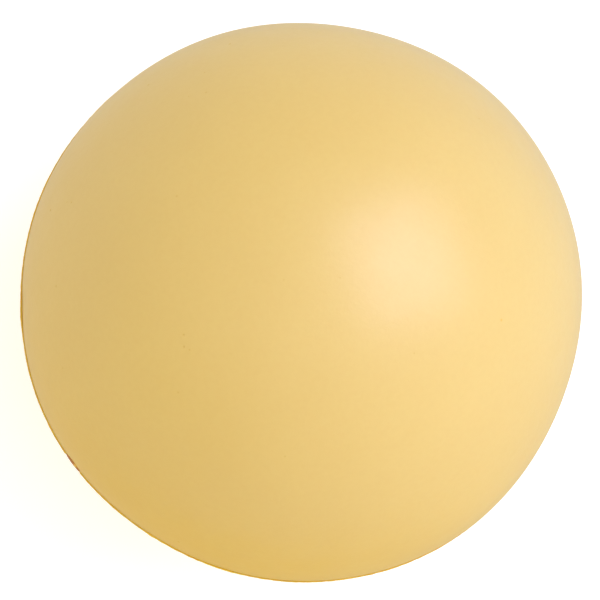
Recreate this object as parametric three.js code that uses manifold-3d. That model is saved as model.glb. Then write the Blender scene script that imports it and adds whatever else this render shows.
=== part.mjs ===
// Stress ball: a soft foam core inside a dense matte skin, which was moulded as two half shells,
// bonded at the parting line and filled through a small hole there that a rubber plug closes.
// Millimetres, +Z up. The origin is the centre of the small flat patch that the ball rests on.

import * as THREE from "three";
import { mergeVertices } from "three/addons/utils/BufferGeometryUtils.js";
import Module from "manifold-3d";

const wasm = await Module();
wasm.setup();

// Driving dimensions
const BALL_DIAMETER = 63;
const REST_PATCH_DIAMETER = 13; // the ball's own weight flattens it this wide
const SKIN_THICKNESS = 1.6;
const FIT_GAP = 0.3; // between curved neighbours

// The bond line between the half shells: a flat ring as deep as the skin, a little proud outside
const BOND_THICKNESS = 0.4;
const BOND_PROUD = 0.1;

// The fill plug, on the parting line: a mushroom of rubber, flush outside, its flange behind the skin
const PLUG_BEARING = 215; // degrees from +X towards +Y
const PLUG_RADIUS = 1.2;
const PLUG_GAP = 0.2;
const FLANGE_RADIUS = 2.2;
const FLANGE_THICKNESS = 1;

// Facets
const SEGMENTS_AROUND = 60;
const PLUG_SEGMENTS = 24;
const ARC_STEP = THREE.MathUtils.degToRad(6);
const PLUG_ARC_STEP = THREE.MathUtils.degToRad(1.5);

// Worked out from the above
const OUTER_RADIUS = BALL_DIAMETER / 2;
const INNER_RADIUS = OUTER_RADIUS - SKIN_THICKNESS;
const CORE_RADIUS = INNER_RADIUS - FIT_GAP;
const CENTRE_HEIGHT = Math.sqrt(OUTER_RADIUS ** 2 - (REST_PATCH_DIAMETER / 2) ** 2);
const SHELL_EDGE = BOND_THICKNESS / 2; // each shell ends this far from the parting plane
const FLANGE_TOP = Math.sqrt(INNER_RADIUS ** 2 - FLANGE_RADIUS ** 2) - FIT_GAP;
const FLANGE_BOTTOM = FLANGE_TOP - FLANGE_THICKNESS;
const POLE = Math.PI / 2;

const material = (colour, roughness) =>
  new THREE.MeshStandardMaterial({ color: colour, roughness, metalness: 0 });
const skinMaterial = material("#dbb865", 0.4);
const bondMaterial = material("#d9aa34", 0.4);
const plugMaterial = material("#ab6326", 0.5);
const foamMaterial = material("#f3e2b4", 0.95);

// Latitude, in radians, at which a sphere about the ball's centre reaches a height above that centre.
const latitudeAt = (radius, rise) => Math.asin(rise / radius);

// Points of a meridian of that sphere from one latitude to another, as (distance from axis, rise).
function meridian(radius, from, to, step = ARC_STEP) {
  const count = Math.max(1, Math.ceil(Math.abs(to - from) / step));
  return Array.from({ length: count + 1 }, (_, i) => {
    const latitude = from + ((to - from) * i) / count;
    const onAxis = Math.abs(latitude) > POLE - 1e-9;
    return new THREE.Vector2(onAxis ? 0 : radius * Math.cos(latitude), radius * Math.sin(latitude));
  });
}

// A solid of revolution about +Z. The profile starts and ends on the axis, or closes on itself.
const revolved = (profile, segments = SEGMENTS_AROUND) =>
  new THREE.LatheGeometry(profile, segments).rotateX(Math.PI / 2);

// The lower outline of a sphere that is flattened where it meets the height "floor" above the ground.
function flattenedMeridian(radius, floor, to) {
  const rise = floor - CENTRE_HEIGHT;
  return [new THREE.Vector2(0, rise), ...meridian(radius, latitudeAt(radius, rise), to)];
}

function upperSkinGeometry() {
  return revolved([
    ...meridian(INNER_RADIUS, POLE, latitudeAt(INNER_RADIUS, SHELL_EDGE)),
    ...meridian(OUTER_RADIUS, latitudeAt(OUTER_RADIUS, SHELL_EDGE), POLE),
  ]);
}

function lowerSkinGeometry() {
  const outside = flattenedMeridian(OUTER_RADIUS, 0, latitudeAt(OUTER_RADIUS, -SHELL_EDGE));
  const inside = flattenedMeridian(INNER_RADIUS, SKIN_THICKNESS, latitudeAt(INNER_RADIUS, -SHELL_EDGE));
  return revolved([...outside, ...inside.reverse()]);
}

function bondGeometry() {
  const across = (radius) => radius * Math.cos(latitudeAt(radius, SHELL_EDGE));
  const corners = [
    [across(INNER_RADIUS), -SHELL_EDGE],
    [across(OUTER_RADIUS), -SHELL_EDGE],
    [OUTER_RADIUS + BOND_PROUD, 0],
    [across(OUTER_RADIUS), SHELL_EDGE],
    [across(INNER_RADIUS), SHELL_EDGE],
    [across(INNER_RADIUS), -SHELL_EDGE],
  ];
  return revolved(corners.map(([x, y]) => new THREE.Vector2(x, y)));
}

function coreGeometry() {
  return revolved(flattenedMeridian(CORE_RADIUS, SKIN_THICKNESS + FIT_GAP, POLE));
}

// The plug stands along its own +Z, which runs from the ball's centre out through the skin.
function plugGeometry() {
  const stem = [
    [0, FLANGE_BOTTOM],
    [FLANGE_RADIUS, FLANGE_BOTTOM],
    [FLANGE_RADIUS, FLANGE_TOP],
    [PLUG_RADIUS, FLANGE_TOP],
  ].map(([x, y]) => new THREE.Vector2(x, y));
  const rim = Math.acos(PLUG_RADIUS / OUTER_RADIUS);
  return revolved([...stem, ...meridian(OUTER_RADIUS, rim, POLE, PLUG_ARC_STEP)], PLUG_SEGMENTS);
}

// A cylinder along the plug's axis, to cut its way through a neighbour.
function boreAlongPlug(radius, from) {
  const length = OUTER_RADIUS + 1 - from;
  const cylinder = new THREE.CylinderGeometry(radius, radius, length, PLUG_SEGMENTS);
  return cylinder.rotateX(Math.PI / 2).translate(0, 0, from + length / 2);
}

const UP = new THREE.Vector3(0, 0, 1);
const plugOutward = new THREE.Vector3(1, 0, 0).applyAxisAngle(UP, THREE.MathUtils.degToRad(PLUG_BEARING));
const plugTurn = new THREE.Quaternion().setFromUnitVectors(UP, plugOutward);

// manifold-3d solid of a closed geometry, and back.
function solidOf(geometry) {
  const bare = geometry.clone();
  bare.deleteAttribute("normal");
  bare.deleteAttribute("uv");
  const merged = mergeVertices(bare, 1e-4);
  const vertProperties = merged.attributes.position.array;
  const triVerts = new Uint32Array(merged.index.array);
  return new wasm.Manifold(new wasm.Mesh({ numProp: 3, vertProperties, triVerts }));
}

function geometryOf(solid) {
  const { vertProperties, triVerts } = solid.getMesh();
  const geometry = new THREE.BufferGeometry();
  geometry.setAttribute("position", new THREE.BufferAttribute(vertProperties, 3));
  geometry.setIndex(new THREE.BufferAttribute(triVerts, 1));
  geometry.computeVertexNormals();
  return geometry;
}

// A geometry about the ball's centre, less a bore along the plug's axis.
function bored(geometry, radius, from) {
  const bore = boreAlongPlug(radius, from).applyQuaternion(plugTurn);
  return geometryOf(solidOf(geometry).subtract(solidOf(bore)));
}

// The skin and the bond each have their share of the fill hole, and the core has room for the flange.
const withFillHole = (geometry) => bored(geometry, PLUG_RADIUS + PLUG_GAP, INNER_RADIUS - 1);
const withFlangeRecess = (geometry) => bored(geometry, FLANGE_RADIUS + FIT_GAP, FLANGE_BOTTOM - FIT_GAP);

// Every piece is made about the ball's centre, so one group lifts them all to where they stand.
const ball = new THREE.Group();
ball.position.z = CENTRE_HEIGHT;

function addPiece(name, geometry, look) {
  const mesh = new THREE.Mesh(geometry, look);
  mesh.name = name;
  ball.add(mesh);
  return mesh;
}

addPiece("upper_skin", withFillHole(upperSkinGeometry()), skinMaterial);
addPiece("lower_skin", withFillHole(lowerSkinGeometry()), skinMaterial);
addPiece("seam_bond", withFillHole(bondGeometry()), bondMaterial);
addPiece("foam_core", withFlangeRecess(coreGeometry()), foamMaterial);
addPiece("fill_plug", plugGeometry(), plugMaterial).quaternion.copy(plugTurn);

const stressBall = new THREE.Group();
stressBall.add(ball);

export default stressBall;
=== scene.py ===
import math
import random

import bmesh
import bpy
import numpy as np
from mathutils import Matrix, Vector, noise


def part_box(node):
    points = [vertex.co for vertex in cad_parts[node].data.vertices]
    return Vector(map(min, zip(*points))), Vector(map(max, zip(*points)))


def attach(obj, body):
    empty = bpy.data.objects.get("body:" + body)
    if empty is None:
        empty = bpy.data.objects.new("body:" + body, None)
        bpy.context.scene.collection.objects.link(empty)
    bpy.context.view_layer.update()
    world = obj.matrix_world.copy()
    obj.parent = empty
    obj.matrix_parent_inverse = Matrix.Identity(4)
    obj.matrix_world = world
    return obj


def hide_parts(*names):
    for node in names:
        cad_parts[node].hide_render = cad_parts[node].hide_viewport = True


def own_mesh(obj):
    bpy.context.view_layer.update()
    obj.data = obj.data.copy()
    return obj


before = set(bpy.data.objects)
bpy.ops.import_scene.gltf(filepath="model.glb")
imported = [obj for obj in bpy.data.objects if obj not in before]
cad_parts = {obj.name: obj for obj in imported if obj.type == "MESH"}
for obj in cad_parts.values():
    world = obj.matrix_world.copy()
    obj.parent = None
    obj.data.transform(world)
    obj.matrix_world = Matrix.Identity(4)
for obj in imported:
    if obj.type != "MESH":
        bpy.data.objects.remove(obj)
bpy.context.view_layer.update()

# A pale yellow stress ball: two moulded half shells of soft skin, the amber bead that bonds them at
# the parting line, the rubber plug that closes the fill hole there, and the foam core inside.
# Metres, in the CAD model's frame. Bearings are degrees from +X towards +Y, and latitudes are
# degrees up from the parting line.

MM = 0.001

# ------------------------------------------------------------------ sizes

BOND_LOW, BOND_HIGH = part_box("seam_bond")
BALL_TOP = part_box("upper_skin")[1].z
CORE_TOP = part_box("foam_core")[1].z

CENTRE_HEIGHT = (BOND_LOW.z + BOND_HIGH.z) / 2
RADIUS = BALL_TOP - CENTRE_HEIGHT
CORE_RADIUS = CORE_TOP - CENTRE_HEIGHT
FIT_GAP = 0.3 * MM
INNER_RADIUS = CORE_RADIUS + FIT_GAP
SKIN_THICKNESS = RADIUS - INNER_RADIUS
SHELL_EDGE = (BOND_HIGH.z - BOND_LOW.z) / 2
PATCH_SOFTNESS = 0.4 * MM  # height over which the rest patch runs out into the round
SHARP_FROM = math.radians(40)  # edges that turn by more than this are shaded sharp

# The plug on the parting line, as in the CAD model
PLUG_BEARING = 215
PLUG_RADIUS = 1.2 * MM
PLUG_GAP = 0.2 * MM
FLANGE_RADIUS = 2.2 * MM
FLANGE_THICKNESS = 1.0 * MM
FLANGE_TOP = math.sqrt(INNER_RADIUS**2 - FLANGE_RADIUS**2) - FIT_GAP
FLANGE_BOTTOM = FLANGE_TOP - FLANGE_THICKNESS
PLUG_SEGMENTS = 96

# The ball is a little out of round: (lobes, height in mm, bearing of a crest)
OUT_OF_ROUND = [(2, 0.07, 8), (3, 0.11, 46), (4, 0.11, 28), (7, 0.05, 2)]

# Shallow dents in the skin: (bearing, latitude, half width in mm, depth in mm)
DENTS = [(181, 3, 2.4, 0.12), (34, 42, 2.2, 0.03), (285, 12, 3.0, 0.05)]

# Pinholes in the skin, where air was trapped against the mould: (bearing, latitude, width in mm)
PINHOLES = [
    (201, 58.5, 0.28),
    (205, 57.5, 0.30),
    (207, 58.3, 0.24),
    (150, 54.3, 0.24),
    (117, 32, 0.22),
    (120, 39, 0.27),
    (128, 22, 0.30),
    (124, 37, 0.20),
    (108, 23, 0.33),
    (160, 26, 0.30),
    (160, 24, 0.20),
    (162, 17, 0.36),
    (179, 26, 0.28),
    (197, 24, 0.22),
    (217, 51, 0.22),
    (242, 10, 0.33),
    (257, 52, 0.20),
    (184, 81, 0.15),
    (351, 88, 0.15),
    (46, 35, 0.20),
    (319, 67, 0.20),
]
PINHOLE_DEPTH = 0.12  # of its width
PINHOLE_WALL = (0.35, 1.05)  # where its wall starts and ends, as a share of its half width
SPOT_RIM = (0.5, 1.3)  # the same for the colour in it: painted shade in a pinhole, adhesive colour in the fleck

# More of them, scattered over the lower shell
PINHOLES_BELOW = 16
WIDTHS_BELOW = (0.15, 0.3)
DEPTHS_BELOW = (0.12, 0.94)  # below the parting line, as a share of the radius
CLEAR_OF_PLUG = 6 * MM

# A fleck of adhesive on the skin: (bearing, latitude, width in mm)
FLECK = (348, 51, 0.32)

# Painted shade: around one bearing the skin beside the seam is coloured a deeper amber, standing in
# for the shade and warm bounce light on that side
PAINTED_SHADE_BEARING = 269
PAINTED_SHADE_HEIGHT = 3 * MM
PAINTED_SHADE_SPREAD = (0.7, 1)  # from none to full, as the cosine of the angle to that bearing

# ------------------------------------------------------------------ shape of the ball


def direction(bearing, latitude):
    """Unit vector from the ball's centre."""
    turn, rise = math.radians(bearing), math.radians(latitude)
    level = math.cos(rise)
    return Vector((level * math.cos(turn), level * math.sin(turn), math.sin(rise)))


PLUG_AXIS = direction(PLUG_BEARING, 0)
ALONG_SEAM = direction(PLUG_BEARING + 90, 0)  # at the plug
PLUG_TURN = Vector((0, 0, 1)).rotation_difference(PLUG_AXIS).to_matrix().to_4x4()


def smooth(low, high, x):
    """0 below low, 1 above high, and an S curve between them."""
    t = np.clip((x - low) / (high - low), 0, 1)
    return t * t * (3 - 2 * t)


def out_of_round(points):
    """How much further from the centre each point lies than on a true sphere, as a factor."""
    unit = points / np.linalg.norm(points, axis=1)[:, None]
    around = unit[:, 0] + 1j * unit[:, 1]
    factor = np.ones(len(points))
    for lobes, height, crest in OUT_OF_ROUND:
        turn = np.exp(-1j * lobes * math.radians(crest))
        factor += height * MM / RADIUS * (around**lobes * turn).real
    return factor


def closeness(points, bearing):
    """Cosine of the angle around the ball between each point and a bearing."""
    return np.cos(np.arctan2(points[:, 1], points[:, 0]) - math.radians(bearing))


def settled(points, floor=0.0):
    """Points given about the centre of a true ball, moved to where they are on the real ball as it
    stands, flattened where they would sink below the floor height."""
    placed = points * out_of_round(points)[:, None]
    above = placed[:, 2] + CENTRE_HEIGHT - floor
    placed[:, 2] = floor + above * smooth(0, PATCH_SOFTNESS, above)
    return placed


def distance_over_skin(points, bearing, latitude):
    """Distance of each point from a place on the skin, in mm."""
    unit = points / np.linalg.norm(points, axis=1)[:, None]
    return np.linalg.norm(unit - np.array(direction(bearing, latitude)), axis=1) * RADIUS / MM


def dented(points):
    """Points of the outer surface, pushed in at the dents and the pinholes."""
    depth = np.zeros(len(points))
    for bearing, latitude, half_width, deep in DENTS:
        depth += deep * np.exp(-((distance_over_skin(points, bearing, latitude) / half_width) ** 2))
    for bearing, latitude, width in ALL_PINHOLES:
        across = distance_over_skin(points, bearing, latitude) / (width / 2)
        depth += width * PINHOLE_DEPTH * (1 - smooth(*PINHOLE_WALL, across))
    return points * (1 - depth * MM / RADIUS)[:, None]


def scattered_pinholes():
    """Pinholes on the lower shell, clear of the seam, the plug and the rest patch."""
    dice = random.Random(7)
    found = []
    while len(found) < PINHOLES_BELOW:
        bearing = dice.uniform(0, 360)
        latitude = -math.degrees(math.asin(dice.uniform(*DEPTHS_BELOW)))
        if (direction(bearing, latitude) - PLUG_AXIS).length * RADIUS > CLEAR_OF_PLUG:
            found.append((bearing, latitude, dice.uniform(*WIDTHS_BELOW)))
    return found


ALL_PINHOLES = PINHOLES + scattered_pinholes()

# ------------------------------------------------------------------ mesh tools


def dome_points(n, lowest):
    """Unit directions of an n by n grid of squares bent over the upper half sphere. Its rim is the
    circle at the latitude "lowest", in radians."""
    steps = np.linspace(-1, 1, n + 1)
    a, b = np.meshgrid(steps, steps, indexing="ij")
    wide = np.abs(a) >= np.abs(b)
    out = np.where(wide, a, b)
    part = np.where(wide, b, a) / np.where(out == 0, 1, out) * math.pi / 4
    turn = np.where(wide, part, math.pi / 2 - part)
    from_pole = out * (math.pi / 2 - lowest)
    x, y, z = np.sin(from_pole) * np.cos(turn), np.sin(from_pole) * np.sin(turn), np.cos(from_pole)
    return np.stack([x, y, z], axis=-1).reshape(-1, 3)


def add_dome(bm, n, lowest):
    """Adds a dome of those points, and returns its vertices."""
    verts = [bm.verts.new(p) for p in dome_points(n, lowest)]
    for i in range(n):
        for j in range(n):
            k = i * (n + 1) + j
            bm.faces.new((verts[k], verts[k + 1], verts[k + n + 2], verts[k + n + 1]))
    return verts


def rim_of(verts):
    """The vertices on a dome's rim, in order of bearing."""
    rim = [v for v in verts if v.is_boundary]
    rim.sort(key=lambda v: math.atan2(v.co.y, v.co.x))
    return rim


def add_ring(bm, ring, points):
    """Joins a ring of vertices to a new ring at these points."""
    fresh = [bm.verts.new(p) for p in points]
    join_rings(bm, ring, fresh)
    return fresh


def join_rings(bm, ring, other):
    """Closes the band between two rings of as many vertices."""
    for i in range(len(ring)):
        bm.faces.new((ring[i - 1], ring[i], other[i], other[i - 1]))


def refine(bm, places, reaches):
    """Halves the spacing of a unit sphere's mesh near each place (bearing, latitude, width in mm),
    once for each reach in mm beyond its edge, from the widest down."""
    for reach in reaches:
        points = np.array([v.co for v in bm.verts])
        near = np.zeros(len(points), bool)
        for bearing, latitude, width in places:
            near |= distance_over_skin(points, bearing, latitude) < reach + width / 2
        bm.verts.index_update()
        edges = [e for e in bm.edges if all(near[v.index] and not v.is_boundary for v in e.verts)]
        bmesh.ops.subdivide_edges(bm, edges=edges, cuts=1, use_grid_fill=True)
        for v in bm.verts:
            v.co.normalize()


def plain_object(name, bm):
    """The bmesh as an object in the scene."""
    mesh = bpy.data.meshes.new(name)
    bm.to_mesh(mesh)
    bm.free()
    piece = bpy.data.objects.new(name, mesh)
    bpy.context.scene.collection.objects.link(piece)
    return piece


def finished_object(name, bm):
    """The bmesh as a smooth-shaded object with its normals out, sharp only at its corners."""
    bmesh.ops.recalc_face_normals(bm, faces=bm.faces)
    piece = plain_object(name, bm)
    piece.data.shade_smooth()
    piece.data.set_sharp_from_angle(angle=SHARP_FROM)
    return piece


def about_centre(piece):
    """Where the piece's vertices lie from the ball's centre."""
    flat = np.empty(len(piece.data.vertices) * 3, np.float32)
    piece.data.vertices.foreach_get("co", flat)
    return flat.reshape(-1, 3).astype(float) - (0, 0, CENTRE_HEIGHT)


def paint(piece, name, values):
    """Stores a number from 0 to 1 at each vertex, for the piece's material to read."""
    layer = piece.data.attributes.new(name, "FLOAT", "POINT")
    layer.data.foreach_set("value", np.asarray(values, np.float32))


def cut(piece, cutter_bm):
    """Takes the cutter's solid out of the piece."""
    bmesh.ops.recalc_face_normals(cutter_bm, faces=cutter_bm.faces)
    cutter = plain_object("cutter", cutter_bm)
    modifier = piece.modifiers.new("cut", "BOOLEAN")
    modifier.object, modifier.operation, modifier.solver = cutter, "DIFFERENCE", "EXACT"
    evaluated = piece.evaluated_get(bpy.context.evaluated_depsgraph_get())
    result = bpy.data.meshes.new_from_object(evaluated)
    piece.modifiers.clear()
    bpy.data.objects.remove(cutter)
    piece.data = result


def revolve(profile, segments):
    """A closed solid of revolution about +Z. Its (radius, height) points start and end on +Z."""
    bm = bmesh.new()
    ring, start = None, bm.verts.new((0, 0, profile[0][1]))
    for radius, height in profile[1:-1]:
        turns = [2 * math.pi * k / segments for k in range(segments)]
        points = [(radius * math.cos(t), radius * math.sin(t), height) for t in turns]
        if ring is None:
            ring = [bm.verts.new(p) for p in points]
            for i in range(segments):
                bm.faces.new((start, ring[i], ring[i - 1]))
        else:
            ring = add_ring(bm, ring, points)
    end = bm.verts.new((0, 0, profile[-1][1]))
    for i in range(segments):
        bm.faces.new((end, ring[i - 1], ring[i]))
    return bm


# ------------------------------------------------------------------ the pieces

SHELL_GRID = 160  # squares across a shell
LIP = 0.12 * MM  # rounding of the shell's outer edge at the bond
LIP_STEPS = 4
SPOT_REACHES = (1.0, 0.7, 0.4, 0.2)  # finer mesh around the pinholes and the fleck, in mm
HOLE_REACHES = (1.0, 0.4)  # and around the fill hole


def shell(name, upper):
    """One moulded half of the skin: its outside, rounded lip, flat edge and inside."""
    up = 1 if upper else -1
    bm = bmesh.new()
    lip_start = math.asin((SHELL_EDGE + LIP) / RADIUS)
    add_dome(bm, SHELL_GRID, lip_start)
    spots = [
        (bearing, latitude * up, width)
        for bearing, latitude, width in [*ALL_PINHOLES, FLECK]
        if latitude * up > 0
    ]
    refine(bm, spots, SPOT_REACHES)
    hole = (PLUG_BEARING, 0, 2 * (PLUG_RADIUS + PLUG_GAP) / MM)
    refine(bm, [hole], HOLE_REACHES)
    outside = dented(np.array([v.co for v in bm.verts]) * (1, 1, up) * RADIUS)
    for v, p in zip(bm.verts, outside):
        v.co = p

    ring = rim_of(bm.verts)
    turns = [math.atan2(v.co.y, v.co.x) for v in ring]

    def around(radius, height):
        return [(radius * math.cos(t), radius * math.sin(t), height * up) for t in turns]

    for step in range(1, LIP_STEPS + 1):
        turn = math.pi / 2 * step / LIP_STEPS
        radius = RADIUS - LIP * (1 - math.cos(turn))
        ring = add_ring(bm, ring, around(radius, SHELL_EDGE + LIP * (1 - math.sin(turn))))
    inner = add_dome(bm, SHELL_GRID, math.asin(SHELL_EDGE / INNER_RADIUS))
    for v in inner:
        v.co = (v.co.x * INNER_RADIUS, v.co.y * INNER_RADIUS, v.co.z * INNER_RADIUS * up)
    join_rings(bm, ring, rim_of(inner))

    points = np.array([v.co for v in bm.verts])
    is_inner = np.zeros(len(points), bool)
    bm.verts.index_update()
    is_inner[[v.index for v in inner]] = True
    final = np.where(is_inner[:, None], settled(points, SKIN_THICKNESS), settled(points))
    for v, p in zip(bm.verts, final):
        v.co = p
    piece = finished_object(name, bm)
    cut_fill_hole(piece)
    paint_shell(piece)
    return piece


def paint_shell(piece):
    """Marks the painted shade in the pinholes, the fleck and the painted shade beside the seam for
    the skin's material.
    """
    points = about_centre(piece)

    def spot(bearing, latitude, width):
        across = distance_over_skin(points, bearing, latitude) / (width / 2)
        return 1 - smooth(*SPOT_RIM, across)

    # Painted shade inside each pinhole
    paint(piece, "pinhole_shade", np.max([spot(*pinhole) for pinhole in ALL_PINHOLES], axis=0))
    paint(piece, "fleck", spot(*FLECK))
    # Painted shade beside the seam, deepest at the seam and fading away from it
    beside_seam = np.exp(-np.abs(points[:, 2]) / PAINTED_SHADE_HEIGHT)
    paint(piece, "painted_shade", beside_seam * smooth(*PAINTED_SHADE_SPREAD, closeness(points, PAINTED_SHADE_BEARING)))


def cut_fill_hole(piece):
    """Takes the fill hole's bore, which is longer at both ends, out of a piece."""
    hole = bmesh.new()
    start = INNER_RADIUS - 1 * MM
    depth = SKIN_THICKNESS + 3 * MM
    bmesh.ops.create_cone(
        hole,
        cap_ends=True,
        segments=PLUG_SEGMENTS,
        radius1=PLUG_RADIUS + PLUG_GAP,
        radius2=PLUG_RADIUS + PLUG_GAP,
        depth=depth,
        matrix=PLUG_TURN @ Matrix.Translation((0, 0, start + depth / 2)),
    )
    hole.transform(Matrix.Translation((0, 0, CENTRE_HEIGHT)))
    cut(piece, hole)
    piece.data.set_sharp_from_angle(angle=SHARP_FROM)


BEAD_STEPS = 1440  # around the ball
BEAD_LEAST = 0.04 * MM  # how far it stands proud of the skin
BEAD_MOST = 0.14 * MM
BEAD_HEAVY_BEARING = 222  # most was squeezed out here
BEAD_DARK_SIDE_BEARING = 160  # and its painted dark reflection is strongest here
BEAD_BULGE_INSIDE = 0.02 * MM
BEAD_BLUNT_END = 0.05 * MM
BEAD_TAPER = 0.4 * MM  # from the shells' inside, where it narrows to that end


def wander(turn, pace, seed):
    """A smooth random number from -1 to 1 that closes on itself around the ball."""
    return noise.noise(Vector((math.cos(turn), math.sin(turn), seed)) * pace)


def bead_outline(turn):
    """Its section at a turn around the ball, in radians, as (radius, height) points."""
    heavy = smooth(-0.1, 0.5, math.cos(turn - math.radians(BEAD_HEAVY_BEARING)))
    proud = BEAD_LEAST + (BEAD_MOST - BEAD_LEAST) * heavy
    proud *= 1 + 0.3 * wander(turn, 9, 1) + 0.3 * wander(turn, 45, 2)
    spill = 0.9 + 0.6 * heavy + 0.6 * wander(turn, 14, 3) + 0.3 * wander(turn, 70, 4)
    half = SHELL_EDGE + LIP * spill
    lower = [
        (INNER_RADIUS + BEAD_BLUNT_END, -0.8 * SHELL_EDGE),
        (INNER_RADIUS + BEAD_TAPER, -SHELL_EDGE),
        (RADIUS - LIP, -SHELL_EDGE),
        (RADIUS - 0.3 * LIP, -0.6 * half - 0.4 * SHELL_EDGE),
        (RADIUS + 0.25 * proud, -half),
        (RADIUS + 0.8 * proud, -0.6 * half),
    ]
    upper = [(radius, -height) for radius, height in reversed(lower)]
    return [(INNER_RADIUS - BEAD_BULGE_INSIDE, 0), *lower, (RADIUS + proud, 0), *upper]


def seam_bead():
    """The adhesive between the shells: a thin ring, squeezed out unevenly along the outside."""
    bm = bmesh.new()
    rings = []
    for k in range(BEAD_STEPS):
        turn = 2 * math.pi * k / BEAD_STEPS
        east, north = math.cos(turn), math.sin(turn)
        points = np.array([(r * east, r * north, z) for r, z in bead_outline(turn)])
        rings.append([bm.verts.new(p) for p in settled(points)])
    for k in range(BEAD_STEPS):
        join_rings(bm, rings[k - 1], rings[k])
    piece = finished_object("seam_bead", bm)
    cut_fill_hole(piece)

    points = about_centre(piece)
    # Painted dark reflection on one side of the bead, strongest at that bearing; the random patches
    # are the adhesive's own uneven tone
    dark_side = smooth(0.3, 1.0, closeness(points, BEAD_DARK_SIDE_BEARING))
    turns = np.arctan2(points[:, 1], points[:, 0])
    patchy = np.array([wander(turn, 9, 5) + 0.4 * wander(turn, 31, 6) for turn in turns])
    paint(piece, "brown", np.clip(0.2 + 0.35 * dark_side + 0.6 * patchy, 0, 1))
    return piece


PLUG_PROUD = 0.08 * MM  # how far the plug's face stands out of the skin
PLUG_EDGE = 0.15 * MM  # rounding of the face's edge
PLUG_EDGE_STEPS = 4
FACE_SINK = 0.01 * MM  # the face is this much lower than its edge
FACE_RINGS = (0.8, 0.7, 0.55, 0.4, 0.3, 0.22, 0.19, 0.16, 0.08)  # shares of the plug's radius
GATE_HEIGHT = 0.05 * MM  # the mark of the mould's gate, in the middle of the face
GATE_RIM = (0.16, 0.22)
FLANGE_CHAMFER = 0.2 * MM
FLANGE_SOFT_EDGE = 0.1 * MM
SMEAR_OFFSET = 0.42 * MM  # a smear of adhesive crosses the face, this far along the seam
SMEAR_HALF_WIDTH = 0.22 * MM


def plug_face():
    """The outer end of the plug's profile, from its stem to the last ring round its axis."""
    rim = math.sqrt(RADIUS**2 - PLUG_RADIUS**2) + PLUG_PROUD
    face = [(PLUG_RADIUS, rim - 3 * PLUG_EDGE)]
    for step in range(PLUG_EDGE_STEPS + 1):
        turn = math.pi / 2 * step / PLUG_EDGE_STEPS
        radius = PLUG_RADIUS - PLUG_EDGE * (1 - math.cos(turn))
        face.append((radius, rim - PLUG_EDGE + PLUG_EDGE * math.sin(turn)))
    for share in FACE_RINGS:
        radius = PLUG_RADIUS * share
        gate = GATE_HEIGHT * (1 - smooth(*GATE_RIM, share))
        face.append((radius, math.sqrt(RADIUS**2 - radius**2) + PLUG_PROUD - FACE_SINK + gate))
    return face


def fill_plug():
    """The mushroom-shaped rubber plug."""
    profile = [
        (0, FLANGE_BOTTOM),
        (FLANGE_RADIUS - FLANGE_CHAMFER, FLANGE_BOTTOM),
        (FLANGE_RADIUS, FLANGE_BOTTOM + FLANGE_CHAMFER),
        (FLANGE_RADIUS, FLANGE_TOP - FLANGE_SOFT_EDGE),
        (FLANGE_RADIUS - FLANGE_SOFT_EDGE, FLANGE_TOP),
        (PLUG_RADIUS + FLANGE_SOFT_EDGE, FLANGE_TOP),
        (PLUG_RADIUS, FLANGE_TOP + FLANGE_SOFT_EDGE),
        *plug_face(),
        (0, RADIUS + PLUG_PROUD - FACE_SINK + GATE_HEIGHT),
    ]
    bm = revolve(profile, PLUG_SEGMENTS)
    bm.transform(PLUG_TURN)
    for v in bm.verts:
        v.co = settled(np.array([v.co]))[0]
    piece = finished_object("fill_plug_rubber", bm)
    points = about_centre(piece)
    beside = np.linalg.norm(np.cross(points, np.array(PLUG_AXIS)), axis=1)
    paint(piece, "glue", smooth(0.9 * PLUG_RADIUS, PLUG_RADIUS, beside))
    from_smear = points @ np.array(ALONG_SEAM) - SMEAR_OFFSET
    paint(piece, "smear", np.exp(-((from_smear / SMEAR_HALF_WIDTH) ** 2)))
    return piece


FOAM_LUMP_HEIGHT = 0.05 * MM
RECESS_SLOPE_END = FLANGE_RADIUS + 1.2 * MM  # how far from the plug's axis its recess reaches


def foam_core():
    """The foam ball: a faintly lumpy moulded surface with a recess for the plug's flange."""
    bm = bmesh.new()
    bmesh.ops.create_icosphere(bm, subdivisions=6, radius=CORE_RADIUS)
    axis = np.array(PLUG_AXIS)
    points = np.array([v.co for v in bm.verts])
    lumps = np.array([noise.noise(v.co * 900) + 0.6 * noise.noise(v.co * 2200) for v in bm.verts])
    points *= (1 + (lumps - 1) * FOAM_LUMP_HEIGHT / CORE_RADIUS)[:, None]
    along = points @ axis
    beside = np.linalg.norm(points - along[:, None] * axis, axis=1)
    recess_floor = FLANGE_BOTTOM - FIT_GAP
    dip = (1 - smooth(FLANGE_RADIUS + FIT_GAP, RECESS_SLOPE_END, beside)) * (along > 0)
    points -= (np.maximum(along - recess_floor, 0) * dip)[:, None] * axis
    for v, p in zip(bm.verts, settled(points, SKIN_THICKNESS + FIT_GAP)):
        v.co = p
    return finished_object("foam_ball", bm)


# ------------------------------------------------------------------ materials


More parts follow.
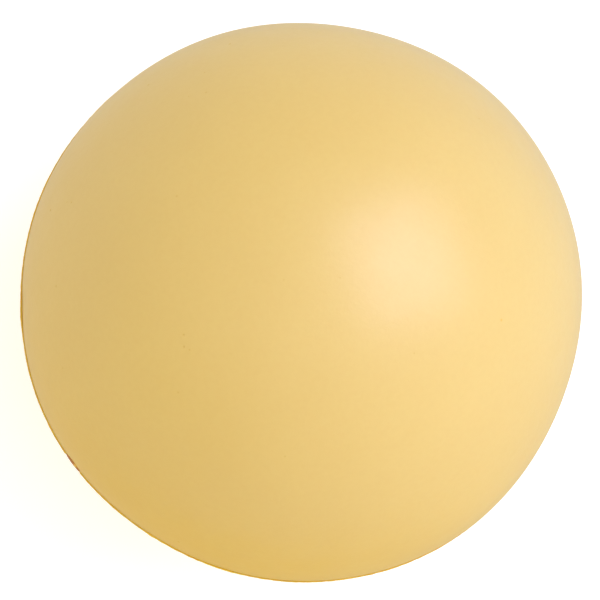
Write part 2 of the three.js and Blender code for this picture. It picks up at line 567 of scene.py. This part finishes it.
class Nodes:
    """A material with a Principled shader, and short ways to add what feeds it. Sizes are in
    metres, and colours are linear RGB."""

    def __init__(self, name, **constants):
        self.material = bpy.data.materials.new(name)
        self.material.use_nodes = True
        self.tree = self.material.node_tree
        self.shader = self.tree.nodes["Principled BSDF"]
        for socket, value in constants.items():
            self.shader.inputs[socket.replace("_", " ")].default_value = value
        self.place = self.add("TexCoord").outputs["Object"]

    def add(self, kind, **settings):
        """A new node of that kind."""
        node = self.tree.nodes.new("ShaderNode" + kind)
        for key, value in settings.items():
            setattr(node, key, value)
        return node

    def link(self, output, target):
        self.tree.links.new(output, target)

    def feed(self, socket, output):
        """Links an output to one of the shader's sockets."""
        self.link(output, self.shader.inputs[socket])

    def noise(self, size, detail=2.0, roughness=0.5):
        """Noise from 0 to 1 whose lumps are about that size."""
        node = self.add("TexNoise")
        node.inputs["Scale"].default_value = 0.5 / size
        node.inputs["Detail"].default_value = detail
        node.inputs["Roughness"].default_value = roughness
        self.link(self.place, node.inputs["Vector"])
        return node.outputs["Fac"]

    def cells(self, size):
        """Distance to the middle of the nearest cell, for cells of about that size."""
        node = self.add("TexVoronoi")
        node.inputs["Scale"].default_value = 1 / size
        self.link(self.place, node.inputs["Vector"])
        return node.outputs["Distance"]

    def painted(self, name):
        """The number that paint() stored under that name."""
        return self.add("Attribute", attribute_name=name).outputs["Fac"]

    def spread(self, value, low, high, to_low, to_high):
        """Maps low..high to to_low..to_high, and holds it there outside."""
        node = self.add("MapRange")
        for socket, number in zip(node.inputs[1:5], (low, high, to_low, to_high)):
            socket.default_value = number
        self.link(value, node.inputs["Value"])
        return node.outputs["Result"]

    def varied(self, noise, low, high):
        """A number between low and high that follows the noise."""
        return self.spread(noise, 0.3, 0.7, low, high)

    def tinted(self, tone, name, strength, colour):
        """The tone, turned to a colour where the piece is painted, by up to that strength."""
        return self.blend(self.spread(self.painted(name), 0, 1, 0, strength), tone, colour)

    def blend(self, share, first, second):
        """A colour between two, each a colour or an output."""
        node = self.add("Mix", data_type="RGBA")
        self.link(share, node.inputs["Factor"])
        for index, colour in ((6, first), (7, second)):
            if isinstance(colour, tuple):
                node.inputs[index].default_value = (*colour, 1)
            else:
                self.link(colour, node.inputs[index])
        return node.outputs[2]

    def bump(self, height, distance, strength=1.0, under=None):
        node = self.add("Bump")
        node.inputs["Distance"].default_value = distance
        node.inputs["Strength"].default_value = strength
        self.link(height, node.inputs["Height"])
        if under is not None:
            self.link(under, node.inputs["Normal"])
        return node.outputs["Normal"]


def skin_look():
    look = Nodes(
        "skin_rubber",
        Subsurface_Weight=0.12,
        Subsurface_Radius=(1.0, 0.55, 0.22),
        Subsurface_Scale=1.2 * MM,
        IOR=1.53,
        Specular_IOR_Level=1.0,
    )
    clouds = look.varied(look.noise(9 * MM, 3), 0, 1)
    tone = look.blend(clouds, (0.705, 0.477, 0.124), (0.725, 0.499, 0.136))
    specks = look.spread(look.noise(0.35 * MM, 3), 0.35, 0.7, 0, 0.15)
    tone = look.blend(specks, tone, (0.66, 0.41, 0.095))
    # Painted shade: a deeper amber beside the seam on one side
    tone = look.tinted(tone, "painted_shade", 0.9, (0.71, 0.44, 0.045))
    # Painted shade in the pinholes
    tone = look.tinted(tone, "pinhole_shade", 0.5, (0.62, 0.37, 0.03))
    tone = look.tinted(tone, "fleck", 1, (0.73, 0.41, 0.035))
    look.feed("Base Color", tone)
    look.feed("Roughness", look.varied(look.noise(1.6 * MM, 4), 0.33, 0.39))
    peel = look.bump(look.noise(1.3 * MM), 0.012 * MM)
    look.feed("Normal", look.bump(look.noise(0.22 * MM, 4, 0.6), 0.018 * MM, under=peel))
    return look.material


def bond_look():
    look = Nodes("amber_adhesive", IOR=1.33, Subsurface_Weight=0.25, Subsurface_Scale=0.4 * MM)
    clouds = look.varied(look.noise(1.5 * MM, 3), 0, 1)
    tone = look.blend(clouds, (0.74, 0.44, 0.022), (0.78, 0.49, 0.040))
    # Browner where painted: the adhesive's own random patches, and a painted dark reflection on one
    # side
    look.feed("Base Color", look.tinted(tone, "brown", 1, (0.60, 0.35, 0.025)))
    look.feed("Roughness", look.varied(look.noise(0.8 * MM), 0.35, 0.5))
    look.feed("Normal", look.bump(look.noise(0.3 * MM, 3), 0.02 * MM))
    return look.material


def plug_look():
    look = Nodes("plug_rubber", IOR=1.45, Subsurface_Weight=0.1, Subsurface_Scale=0.5 * MM)
    clouds = look.varied(look.noise(0.7 * MM, 3), 0, 1)
    tone = look.blend(clouds, (0.36, 0.095, 0.012), (0.46, 0.145, 0.022))
    tone = look.tinted(tone, "glue", 1, (0.55, 0.24, 0.030))
    look.feed("Base Color", look.tinted(tone, "smear", 1, (0.72, 0.43, 0.045)))
    look.feed("Roughness", look.varied(look.noise(0.6 * MM), 0.42, 0.58))
    look.feed("Normal", look.bump(look.noise(0.2 * MM, 3), 0.015 * MM))
    return look.material


def foam_look():
    look = Nodes("open_foam", IOR=1.4, Subsurface_Weight=0.3, Subsurface_Scale=1.5 * MM)
    coarse, fine = look.cells(0.7 * MM), look.cells(0.28 * MM)
    clouds = look.varied(look.noise(6 * MM, 3), 0, 1)
    tone = look.blend(clouds, (0.86, 0.74, 0.46), (0.91, 0.81, 0.55))
    # Painted shade: the foam is coloured darker in the hollows of its cells
    cell_hollow_shade = look.spread(coarse, 0.15, 0.55, 0.6, 0)
    look.feed("Base Color", look.blend(cell_hollow_shade, tone, (0.62, 0.45, 0.20)))
    look.feed("Roughness", look.spread(fine, 0.1, 0.5, 1.0, 0.85))
    cells = look.bump(coarse, 0.25 * MM, 0.9)
    look.feed("Normal", look.bump(fine, 0.08 * MM, 0.7, under=cells))
    return look.material


# ------------------------------------------------------------------ assembly


def fit(piece, material, node, body):
    """Puts a piece in place of its CAD node, with its material, on its body."""
    piece.data.materials.clear()
    piece.data.materials.append(material)
    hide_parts(node)
    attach(piece, body)
    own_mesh(piece)


SKIN_LOOK = skin_look()
core = foam_core()
fit(shell("upper_skin_shell", upper=True), SKIN_LOOK, "upper_skin", "crown")
fit(shell("lower_skin_shell", upper=False), SKIN_LOOK, "lower_skin", "base")
fit(seam_bead(), bond_look(), "seam_bond", "base")
fit(fill_plug(), plug_look(), "fill_plug", "base")
fit(core, foam_look(), "foam_core", "base")

# ------------------------------------------------------------------ stage, camera and light

BALL_CENTRE = Vector((0, 0, CENTRE_HEIGHT))

# The camera looks down on the ball, a little off its top, from far enough to flatten perspective
CAMERA_BEARING = 222
CAMERA_OFF_TOP = 7.3
CAMERA_DISTANCE = 20 * RADIUS
BALL_SHARE_OF_FRAME = 0.9343  # the ball's width over the image's
AIM = Vector((-0.22 * MM, 0.16 * MM))  # the point aimed at, left of and above the ball's centre

TOWARD_CAMERA = direction(CAMERA_BEARING, 90 - CAMERA_OFF_TOP)
RIGHT = (Vector((1, 0, 0)) - TOWARD_CAMERA.x * TOWARD_CAMERA).normalized()
UPWARD = TOWARD_CAMERA.cross(RIGHT)

FLOOR_HALF_WIDTH = 4
FLOOR_DROP = 0.02 * MM  # keeps it off the rest patch

# The lighting, in view: directions are (right, up, toward the camera), colours are linear RGB
SOFTBOX_TOWARD = (0.65, 0.27, 0.71)
SOFTBOX_DISTANCE = 0.8
SOFTBOX_WIDTH = 0.64
SOFTBOX_WATTS = 2.15
SOFTBOX_COLOUR = (0.97, 0.89, 1.26)
ROOM_BRIGHTNESS = 0.788

# More or less light from some sides of the room, set so that the ball's light and dark sides are
# where the photo has them: (direction, colour added, sharpness)
ROOM_GLOWS = [
    ((0.5, 0.1, 0.85), (0.41, 0.44, 0.43), 3),  # in front on the right
    ((1.0, -0.2, 0.0), (0.38, 0.44, 0.48), 3),  # on the right
    ((-0.4, 0.25, 0.85), (0.08, 0.07, -0.03), 3),  # in front on the left
    ((-0.25, 1.0, 0.1), (-0.20, -0.19, -0.20), 3),  # at the top
    ((-0.5, -0.5, -0.7), (-0.13, -0.24, -0.36), 3),  # behind at the lower left
    ((0.05, -0.7, -0.7), (0.03, -0.18, -0.50), 4),  # behind below
    ((-0.75, -0.6, 0.1), (-0.04, -0.11, -0.32), 4),  # at the lower left
    ((0.6, 0.35, -0.7), (-0.38, -0.18, 0.10), 4),  # behind on the right
]


def in_view(toward):
    """A unit vector given as (right, up, toward the camera)."""
    return (RIGHT * toward[0] + UPWARD * toward[1] + TOWARD_CAMERA * toward[2]).normalized()


def add_camera():
    data = bpy.data.cameras.new("camera")
    edge = RADIUS / math.sqrt(CAMERA_DISTANCE**2 - RADIUS**2)  # tangent of the ball's half width
    data.lens = data.sensor_width / 2 * BALL_SHARE_OF_FRAME / edge
    data.clip_start, data.clip_end = 0.01, 20
    camera = bpy.data.objects.new("camera", data)
    place = BALL_CENTRE + TOWARD_CAMERA * CAMERA_DISTANCE + RIGHT * AIM.x + UPWARD * AIM.y
    turn = Matrix((RIGHT, UPWARD, TOWARD_CAMERA)).transposed().to_4x4()
    camera.matrix_world = Matrix.Translation(place) @ turn
    bpy.context.scene.collection.objects.link(camera)
    bpy.context.scene.camera = camera


def add_softbox():
    """A square soft box that faces the ball."""
    data = bpy.data.lights.new("key", "AREA")
    data.energy, data.size, data.color = SOFTBOX_WATTS, SOFTBOX_WIDTH, SOFTBOX_COLOUR
    light = bpy.data.objects.new("key", data)
    way = in_view(SOFTBOX_TOWARD)
    light.location = BALL_CENTRE + way * SOFTBOX_DISTANCE
    light.rotation_mode = "QUATERNION"
    light.rotation_quaternion = way.to_track_quat("Z", "Y")
    light.visible_camera = False
    bpy.context.scene.collection.objects.link(light)


def add_room():
    """The white room, as a world whose glows fall off as exp(sharpness * (cosine - 1))."""
    world = bpy.data.worlds.new("white_room")
    world.use_nodes = True
    nodes, links = world.node_tree.nodes, world.node_tree.links
    way = nodes.new("ShaderNodeTexCoord").outputs["Generated"]

    def math_node(operation, first, second):
        node = nodes.new("ShaderNodeMath")
        node.operation = operation
        for socket, value in zip(node.inputs, (first, second)):
            if isinstance(value, float):
                socket.default_value = value
            else:
                links.new(value, socket)
        return node.outputs[0]

    total = None
    for toward, tint, sharpness in ROOM_GLOWS:
        dot = nodes.new("ShaderNodeVectorMath")
        dot.operation = "DOT_PRODUCT"
        links.new(way, dot.inputs[0])
        dot.inputs[1].default_value = in_view(toward)
        from_peak = math_node("SUBTRACT", dot.outputs["Value"], 1.0)
        falloff = math_node("POWER", math.e**sharpness, from_peak)
        glow = nodes.new("ShaderNodeVectorMath")
        glow.operation = "MULTIPLY_ADD"
        links.new(falloff, glow.inputs[0])
        glow.inputs[1].default_value = tint
        glow.inputs[2].default_value = (ROOM_BRIGHTNESS,) * 3
        if total is not None:
            links.new(total, glow.inputs[2])
        total = glow.outputs["Vector"]
    links.new(total, nodes["Background"].inputs["Color"])
    bpy.context.scene.world = world


def add_floor():
    """A wide white table top with a faint mottle. It glows a little, so that it stays white beside
    the ball, and the ball mirrors the room and not the table."""
    bm = bmesh.new()
    bmesh.ops.create_grid(bm, x_segments=8, y_segments=8, size=FLOOR_HALF_WIDTH)
    bm.transform(Matrix.Translation((0, 0, -FLOOR_DROP)))
    floor = plain_object("floor", bm)
    look = Nodes(
        "white_table",
        Roughness=0.9,
        Emission_Color=(0.96, 0.98, 1, 1),
        Emission_Strength=0.34,
    )
    mottle = look.varied(look.noise(40 * MM, 3), 0, 1)
    look.feed("Base Color", look.blend(mottle, (0.89, 0.90, 0.92), (0.91, 0.92, 0.94)))
    floor.data.materials.append(look.material)
    floor.visible_glossy = False


add_camera()
add_softbox()
add_room()
add_floor()

bpy.context.scene.view_settings.view_transform = "Standard"
